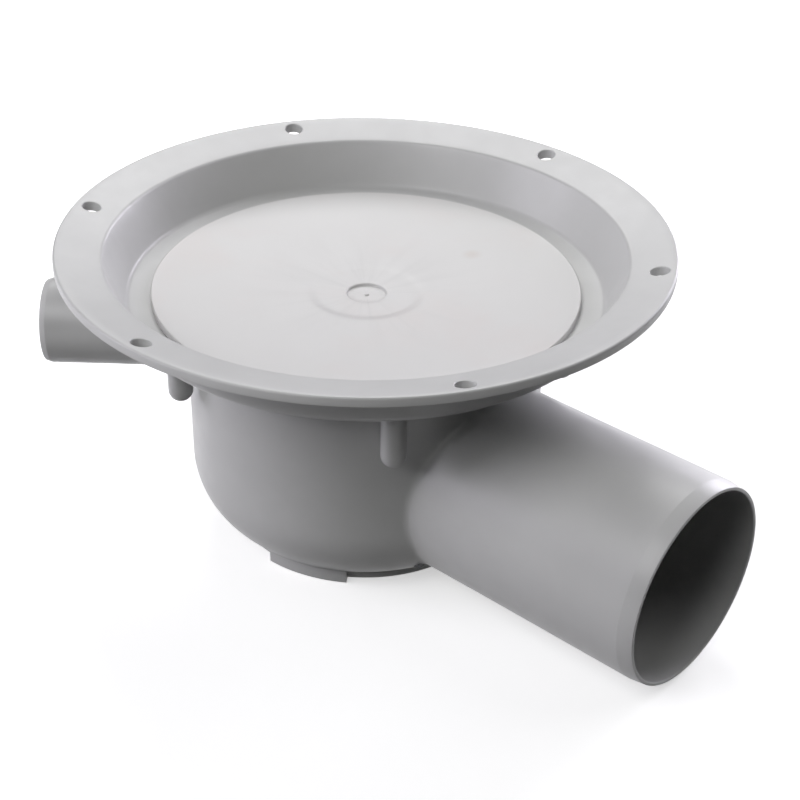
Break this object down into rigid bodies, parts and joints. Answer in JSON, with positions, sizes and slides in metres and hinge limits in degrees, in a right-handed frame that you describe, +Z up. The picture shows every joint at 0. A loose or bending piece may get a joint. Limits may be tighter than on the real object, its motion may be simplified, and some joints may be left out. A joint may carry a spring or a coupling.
{
  "type": "floor drain",
  "caption": "Moulded plastic floor drain: round flange with fixing holes, dished cover in a conical bowl, round sump with a water trap, large side outlet and small side inlet.",
  "frame": {"origin": "centre of the sump's flat bottom, on the drain's vertical axis", "axes": "+Z up along the drain's axis, towards the flange; +X along the outlet, away from the drain"},
  "size_m": [0.2651, 0.225, 0.1178],
  "materials": {
    "body": "satin, injection moulded polypropylene",
    "cover": "satin, with faint flow marks round the centre",
    "trap": "satin",
    "seal": "smooth"
  },
  "bodies": {
    "root": {"drain_body": "body", "cover_disc": "cover", "trap_insert": "trap", "trap_seal": "seal"}
  },
  "joints": []
}
